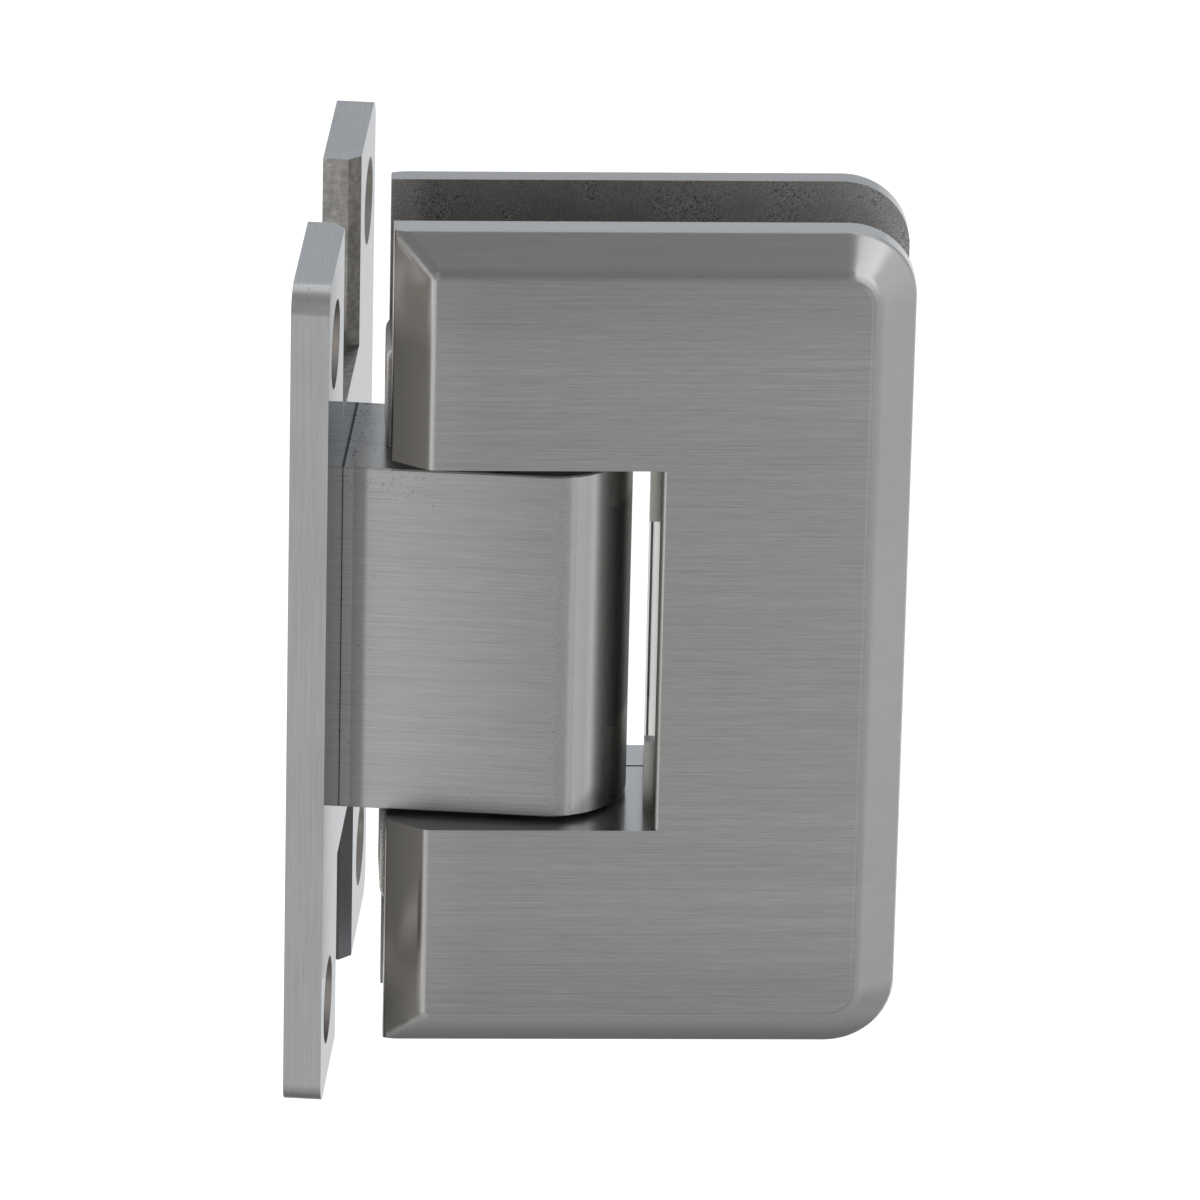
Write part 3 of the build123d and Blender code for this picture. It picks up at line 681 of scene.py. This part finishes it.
    # Painted light on the lug ends.
    lug_end_painted_light = ramp(tree, normal_x, -0.6, -0.8)
    cast_tone = product(tree, cast_tone, blend(tree, lug_end_painted_light, 1.0, 1.6))
    cast_tone = scaled(tree, pale_grit, 0.2, cast_tone)
    colour = tint(tree, cast, brushed, shaded(tree, CAST_METAL, cast_tone))
    colour = tint(tree, on_tab, colour, shaded(tree, TAB_METAL, scaled(tree, grit, 0.3, 0.85)))
    tree.links.new(colour, shader.inputs["Base Color"])
    rough = scaled(tree, marks, 0.1, blend(tree, on_face, 0.2, 0.3))
    rough = blend(tree, cast, rough, scaled(tree, grit, 0.2, 0.42))
    rough = blend(tree, on_tab, rough, 0.3)
    tree.links.new(rough, shader.inputs["Roughness"])
    surface = blend(tree, cast, product(tree, marks, grain), grit)
    relief = put(tree, "ShaderNodeBump", {"Strength": 0.12, "Distance": RELIEF_DEPTH, "Height": surface})
    tree.links.new(relief.outputs[0], shader.inputs["Normal"])
    tree.links.new(steer(tree, level_edge, (0, 0, 1), (0, 1, 0)), shader.inputs["Tangent"])
    return finish


dress(cover_finish("front_cover_metal", -1, 1.0), "front_cover")


# Back cover
# The same casting without the lugs, drawn against the glass by two screws through its face.
# Its rim has a darker painted shade than the front cover's.
dress(cover_finish("back_cover_metal", 1, 0.86), "back_cover")


# Clamp screws
# Two countersunk M5 socket screws that draw the back cover and the glass against the front cover's lugs.
# Only their heads show, in the back cover's face.
CLAMP_SCREW_LENGTH = 13.85 * MILLIMETRE
CLAMP_SCREW_X = 10.5 * MILLIMETRE
CLAMP_SCREW_HEAD_Y = 9.75 * MILLIMETRE

low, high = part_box("clamp_screws")
on_door = Matrix.Translation((PIVOT_X, 0, 0)) @ Matrix.Rotation(DOOR_ANGLE, 4, "Z")
into_lug = on_door @ Matrix.Translation((CLAMP_SCREW_X, CLAMP_SCREW_HEAD_Y, low.z + M5_HEAD))
into_lug = into_lug @ Matrix.Rotation(math.radians(-90), 4, "X")
clamp_screw = screw_mesh(
    "clamp_screw", M5_HEAD, M5_SHANK, M5_PITCH, CLAMP_SCREW_LENGTH, M5_SOCKET, M5_SOCKET_DEPTH, into_lug
)
screw_pair("clamp_screws", "door_clamp", clamp_screw, high.z - low.z - 2 * M5_HEAD)


# Pin grub screws
# Two M3 socket grub screws, one in the wall end of each lug, that lock the pin so that it turns with
# the door.
M3_SHANK = 1.5 * MILLIMETRE
M3_PITCH = 0.5 * MILLIMETRE
GRUB_LENGTH = 6 * MILLIMETRE
GRUB_HEAD_X = -10.02 * MILLIMETRE
GRUB_SOCKET = 1.5 * MILLIMETRE
GRUB_SOCKET_DEPTH = 1.5 * MILLIMETRE

low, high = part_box("pin_grub_screws")
to_pin = on_door @ Matrix.Translation((GRUB_HEAD_X, 0, low.z + M3_SHANK))
to_pin = to_pin @ Matrix.Rotation(math.radians(-90), 4, "Y")
grub_screw = screw_mesh(
    "grub_screw", M3_SHANK, M3_SHANK, M3_PITCH, GRUB_LENGTH, GRUB_SOCKET, GRUB_SOCKET_DEPTH, to_pin
)
screw_pair("pin_grub_screws", "door_clamp", grub_screw, high.z - low.z - 2 * M3_SHANK)


# Gaskets
# Dark rubber sheet, die-cut, that keeps the covers off the glass and grips it.
RUBBER = (0.12, 0.12, 0.115)

finish, tree, shader, point, _ = new_finish("gasket_rubber", 0.0)
cloud = speckle(tree, point, 1.5 * MILLIMETRE, 4.0)
tone = scaled(tree, cloud, 0.6, 0.7)
tree.links.new(shaded(tree, RUBBER, tone), shader.inputs["Base Color"])
tree.links.new(scaled(tree, cloud, 0.2, 0.6), shader.inputs["Roughness"])
dress(finish, "front_gasket", "back_gasket")


# Studio
# A pale floor well below the hinge, a white surround, and cards that only the metal shows.
FLOOR_DROP = 0.3
FLOOR_SIZE = 8.0
FLOOR_PAINT = (0.8, 0.8, 0.8, 1)
FLOOR_GLOW = 0.5
WHITE = (1, 1, 1, 1)
SURROUND_LIGHT = 0.8
SURROUND_SHOWN = 1.0
LAMP_WAY = (50, 20)
LAMP_DISTANCE = 0.8
LAMP_SIZE = 0.5
LAMP_POWER = 1.2


def seen_directly(tree):
    """1 for what the camera sees, straight or by way of metal or glass, and 0 for light on a surface."""
    path = put(tree, "ShaderNodeLightPath").outputs
    straight_or_mirrored = sums(tree, "MAXIMUM", path["Is Camera Ray"], path["Is Glossy Ray"])
    return sums(tree, "MAXIMUM", straight_or_mirrored, path["Is Transmission Ray"])


world = bpy.data.worlds.new("studio_surround")
world.use_nodes = True
world.cycles.sampling_method = "NONE"
scene.world = world
tree = world.node_tree
tree.nodes.clear()
lights = put(tree, "ShaderNodeBackground", {"Color": WHITE, "Strength": SURROUND_LIGHT})
shows = put(tree, "ShaderNodeBackground", {"Color": WHITE, "Strength": SURROUND_SHOWN})
sides = {0: seen_directly(tree), 1: lights.outputs[0], 2: shows.outputs[0]}
put(tree, "ShaderNodeOutputWorld", {0: put(tree, "ShaderNodeMixShader", sides).outputs[0]})


def panel(name, corners):
    """A four-cornered sheet in the studio."""
    mesh = bpy.data.meshes.new(name)
    mesh.from_pydata(corners, [], [(0, 1, 2, 3)])
    sheet = bpy.data.objects.new(name, mesh)
    scene.collection.objects.link(sheet)
    return sheet


half = FLOOR_SIZE / 2
floor_z = cad_low.z - FLOOR_DROP
floor_sides = ((-half, -half), (half, -half), (half, half), (-half, half))
floor = panel("floor", [(*corner, floor_z) for corner in floor_sides])
finish = bpy.data.materials.new("floor_paint")
finish.use_nodes = True
finish.cycles.emission_sampling = "NONE"
tree = finish.node_tree
tree.nodes.clear()
paint = put(tree, "ShaderNodeBsdfDiffuse", {"Color": FLOOR_PAINT})
glow = put(tree, "ShaderNodeEmission", {"Strength": product(tree, seen_directly(tree), FLOOR_GLOW)})
both = put(tree, "ShaderNodeAddShader", {0: paint.outputs[0], 1: glow.outputs[0]})
put(tree, "ShaderNodeOutputMaterial", {0: both.outputs[0]})
floor.data.materials.append(finish)


def direction(azimuth, elevation):
    """The way from the hinge to a place round it: azimuth 0 is the front and 90 the right."""
    a = math.radians(azimuth)
    e = math.radians(elevation)
    return Vector((math.sin(a) * math.cos(e), -math.cos(a) * math.cos(e), math.sin(e)))


pivot = Vector((PIVOT_X, 0, 0))


def reflector(name, azimuth, elevation, distance, width, height, low, high, soft=0.0):
    """A card that faces the hinge and only metal shows: its tone goes from its foot up, its edges fade."""
    out = direction(azimuth, elevation)
    across = direction(azimuth + 90, 0)
    upward = out.cross(across).normalized()
    middle = out * distance + pivot
    corners = []
    for side, end in ((-1, -1), (1, -1), (1, 1), (-1, 1)):
        corners.append(middle + across * side * width / 2 + upward * end * height / 2)
    sheet = panel(name, corners)
    sheet.visible_camera = False
    sheet.visible_diffuse = False
    sheet.visible_shadow = False
    finish = bpy.data.materials.new(name + "_card")
    finish.use_nodes = True
    finish.cycles.emission_sampling = "NONE"
    tree = finish.node_tree
    tree.nodes.clear()
    place = put(tree, "ShaderNodeTexCoord").outputs["Object"]
    place = vectors(tree, "SUBTRACT", place, middle)
    shares = []
    for way, size in ((across, width), (upward, height)):
        along = put(tree, "ShaderNodeVectorMath", {0: place, 1: way}, operation="DOT_PRODUCT")
        shares.append(sums(tree, "DIVIDE", along.outputs["Value"], size / 2))
    tone = tint(tree, ramp(tree, shares[1], -0.5, 0.5), (*low, 1), (*high, 1))
    glow = put(tree, "ShaderNodeEmission", {"Color": tone, "Strength": 1.0})
    to_edge = sums(tree, "MAXIMUM", sums(tree, "ABSOLUTE", shares[0]), sums(tree, "ABSOLUTE", shares[1]))
    solid = ramp(tree, to_edge, 1.001, 1.0 - soft)
    clear = put(tree, "ShaderNodeBsdfTransparent")
    card = put(tree, "ShaderNodeMixShader", {0: solid, 1: clear.outputs[0], 2: glow.outputs[0]})
    put(tree, "ShaderNodeOutputMaterial", {0: card.outputs[0]})
    sheet.data.materials.append(finish)


# Way in degrees, distance, width and height in metres, tone at the foot and the head, soft share of the edge
reflector("front_low", 0, -30, 0.62, 1.5, 0.5, (0.9, 0.9, 0.9), (0.92, 0.92, 0.92))
reflector("front_high", -8, 31, 0.55, 0.54, 1.0, (0.24, 0.24, 0.25), (0.4, 0.4, 0.41))
reflector("under", 0, -70, 0.27, 0.9, 0.5, (0.34, 0.34, 0.33), (0.88, 0.88, 0.87))
reflector("left_side", -84, -5, 0.62, 0.86, 1.5, (0.25, 0.23, 0.21), (0.27, 0.25, 0.23))
reflector("right_low", 76, -25, 0.66, 1.15, 0.6, (0.9, 0.9, 0.88), (0.9, 0.9, 0.88), 0.2)
reflector("right_window", 35, 18, 0.75, 0.6, 0.66, (1.85, 1.87, 1.9), (1.85, 1.87, 1.9), 0.35)
reflector("right_rear", 118, 25, 0.8, 0.9, 0.9, (0.72, 0.74, 0.76), (0.72, 0.74, 0.76), 0.3)
reflector("back_high", 180, 32, 0.9, 2.6, 1.1, (0.86, 0.9, 0.95), (0.86, 0.9, 0.95))

light = bpy.data.lights.new("right_lamp", "AREA")
light.shape = "SQUARE"
light.size = LAMP_SIZE
light.energy = LAMP_POWER
lamp = bpy.data.objects.new("right_lamp", light)
scene.collection.objects.link(lamp)
lamp.location = direction(*LAMP_WAY) * LAMP_DISTANCE + pivot
lamp.rotation_mode = "QUATERNION"
lamp.rotation_quaternion = direction(*LAMP_WAY).to_track_quat("Z", "Y")
lamp.visible_glossy = False


# Camera
# A long lens a little above the hinge and slightly to its right.
CAMERA_DISTANCE = 1.2037
CAMERA_AZIMUTH = 3.602
CAMERA_ELEVATION = 25.193
CAMERA_ROLL = math.radians(1.307)
CAMERA_TARGET = Vector((0.029363, 0, 0.001382))
PICTURE_PIXELS = 1200
FOCAL_PIXELS = 11898
SENSOR_WIDTH = 36
FARTHEST = 100

camera = bpy.data.cameras.new("camera")
camera.sensor_width = SENSOR_WIDTH
camera.lens = SENSOR_WIDTH * FOCAL_PIXELS / PICTURE_PIXELS
camera.clip_end = FARTHEST
camera_object = bpy.data.objects.new("camera", camera)
scene.collection.objects.link(camera_object)
back = direction(CAMERA_AZIMUTH, CAMERA_ELEVATION)
level_right = direction(CAMERA_AZIMUTH + 90, 0)
level_up = back.cross(level_right)
right = math.cos(CAMERA_ROLL) * level_right + math.sin(CAMERA_ROLL) * level_up
up = math.cos(CAMERA_ROLL) * level_up - math.sin(CAMERA_ROLL) * level_right
placed = Matrix((right, up, back)).transposed().to_4x4()
placed.translation = CAMERA_TARGET + back * CAMERA_DISTANCE
camera_object.matrix_world = placed
scene.camera = camera_object
scene.view_settings.view_transform = "Standard"
